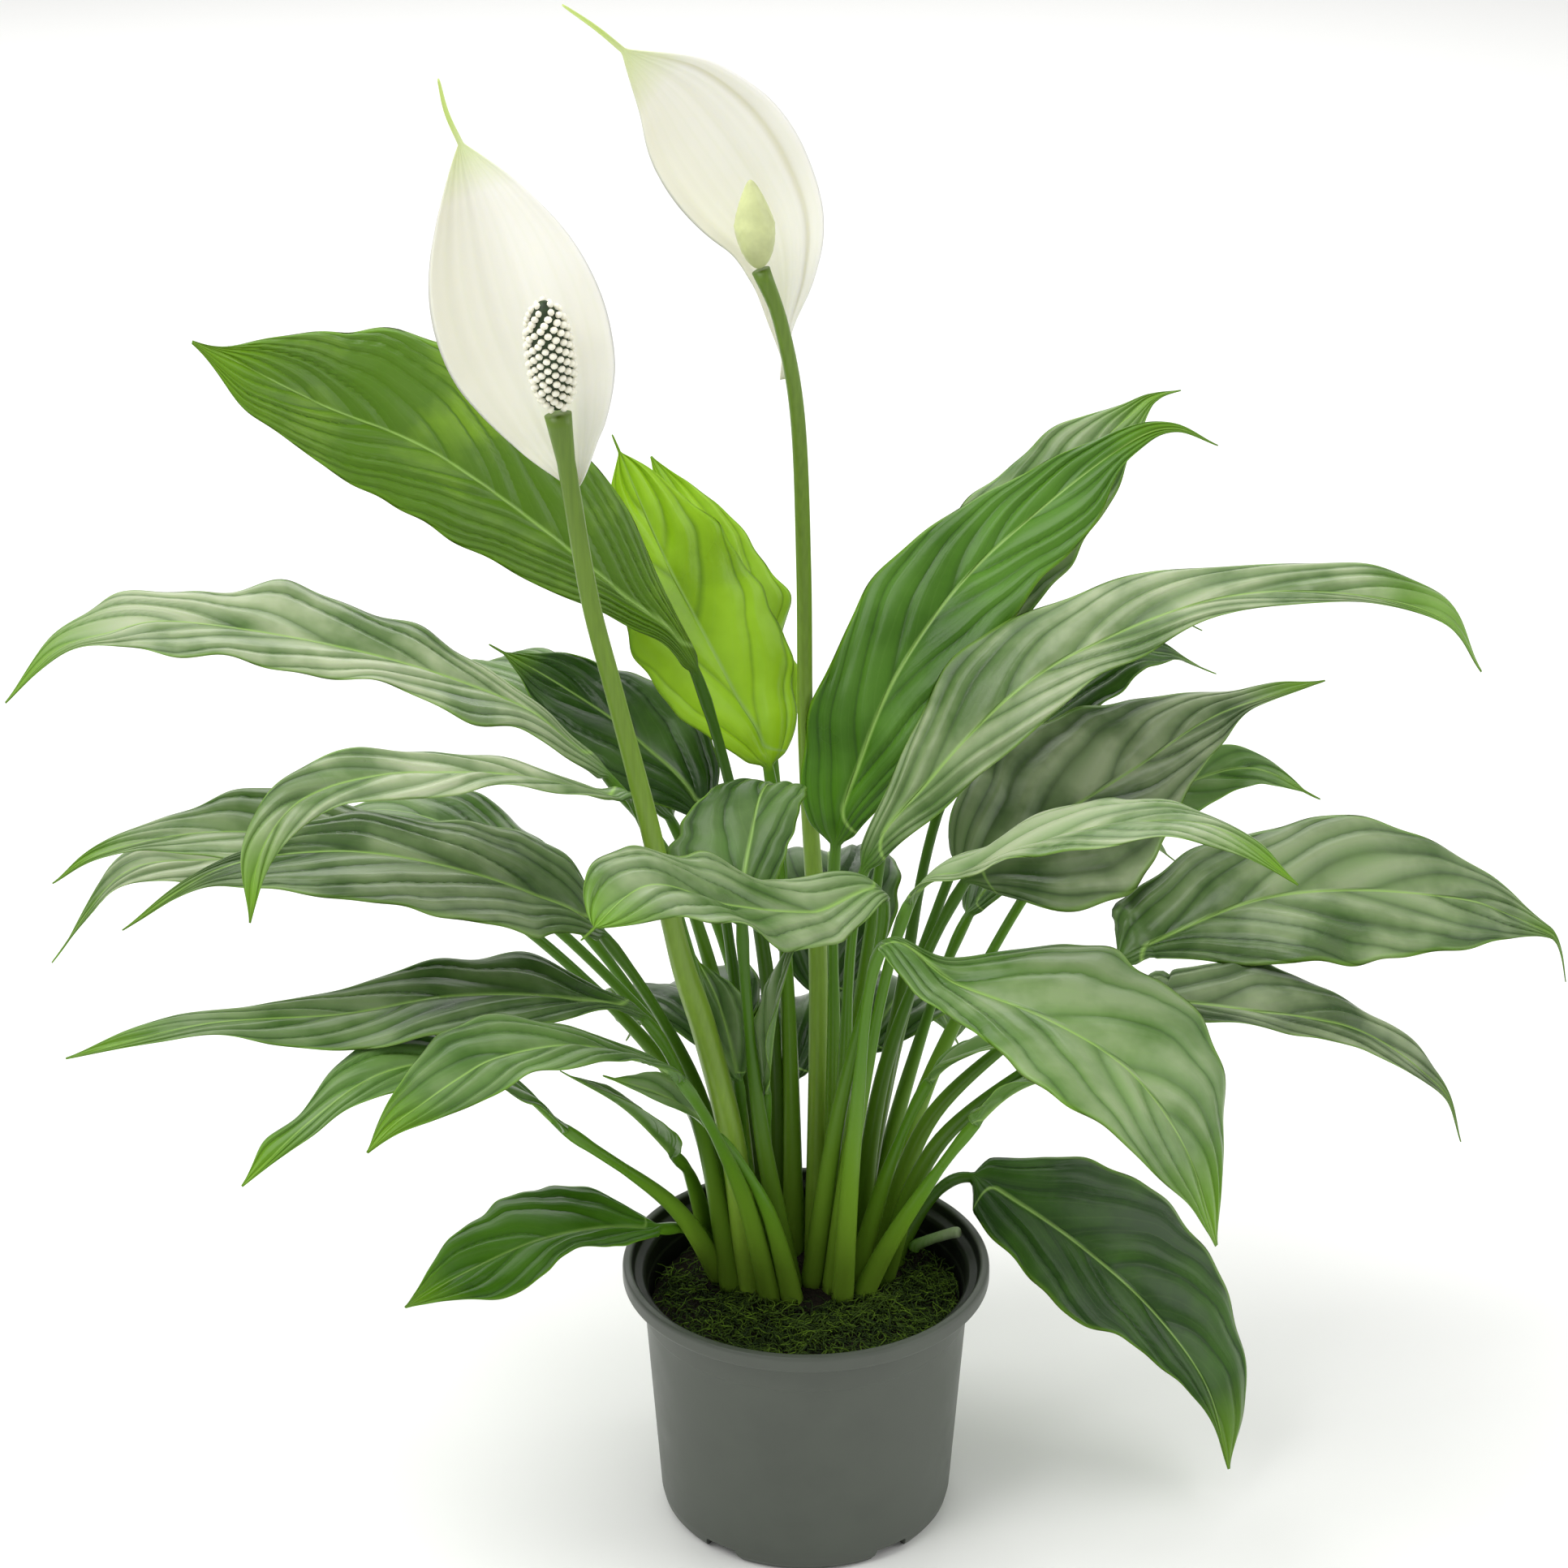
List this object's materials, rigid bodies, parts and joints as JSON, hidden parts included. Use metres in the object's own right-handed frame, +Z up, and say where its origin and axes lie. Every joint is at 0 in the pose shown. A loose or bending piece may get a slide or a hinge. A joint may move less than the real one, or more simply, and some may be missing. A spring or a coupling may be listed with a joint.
{
  "type": "potted peace lily",
  "caption": "Leafy peace lily with arching pointed leaves and white hooded flowers, growing in a round nursery pot with moss over the soil.",
  "frame": {"origin": "on the pot's axis, at the surface the pot stands on", "axes": "+Z up, -Y towards the plant's front, +X to its right as seen from the front"},
  "size_m": [0.4855, 0.2904, 0.4962],
  "materials": {
    "pot": "satin moulded grey",
    "soil": "moist dark peat",
    "crown": "fibrous brown",
    "moss": "loose strands",
    "leaf": "waxy, softly glossy",
    "young_leaf": "waxy, thin",
    "stalk": "smooth",
    "cut_stub": "dry, pale",
    "spathe": "soft, petal-like",
    "spadix_ripe": "bumpy",
    "spadix_young": "smooth"
  },
  "bodies": {
    "root": {"pot": "pot", "potting_soil": "soil", "crown": "crown", "moss": "moss", "leaf_upper_left": "young_leaf", "leaf_bright_front": "young_leaf", "leaf_bright_back": "young_leaf", "leaf_upper_right": "leaf", "leaf_upper_right_back": "leaf", "leaf_right_long": "leaf", "leaf_left_high": "leaf", "leaf_dark_left": "leaf", "leaf_left_arch": "leaf", "leaf_left_mid": "leaf", "leaf_left_far": "leaf", "leaf_left_curl": "leaf", "leaf_left_low": "leaf", "leaf_left_bent": "leaf", "leaf_front_left": "leaf", "leaf_pot_left": "leaf", "leaf_left_strap": "leaf", "leaf_left_folded": "leaf", "leaf_left_inner": "leaf", "leaf_centre_fold": "leaf", "leaf_centre_up": "leaf", "leaf_centre_behind": "leaf", "leaf_back_tip_high": "leaf", "leaf_back_tip_low": "leaf", "leaf_right_dark": "leaf", "leaf_right_front": "leaf", "leaf_right_edge": "leaf", "leaf_right_wide": "leaf", "leaf_right_low": "leaf", "leaf_front_right": "leaf", "leaf_right_small": "leaf", "leaf_right_pale": "leaf", "leaf_pot_right": "leaf", "leaf_back_left": "leaf", "leaf_back_middle": "leaf", "leaf_back_right": "leaf", "leaf_low_left": "leaf", "leaf_low_middle": "leaf", "leaf_low_right": "leaf", "leaf_left_back": "leaf", "flower_stalk_left": "stalk", "flower_stalk_right": "stalk", "cut_stub": "cut_stub", "spathe_left": "spathe", "spathe_right": "spathe", "spadix_left": "spadix_ripe", "spadix_right": "spadix_young"}
  },
  "joints": []
}
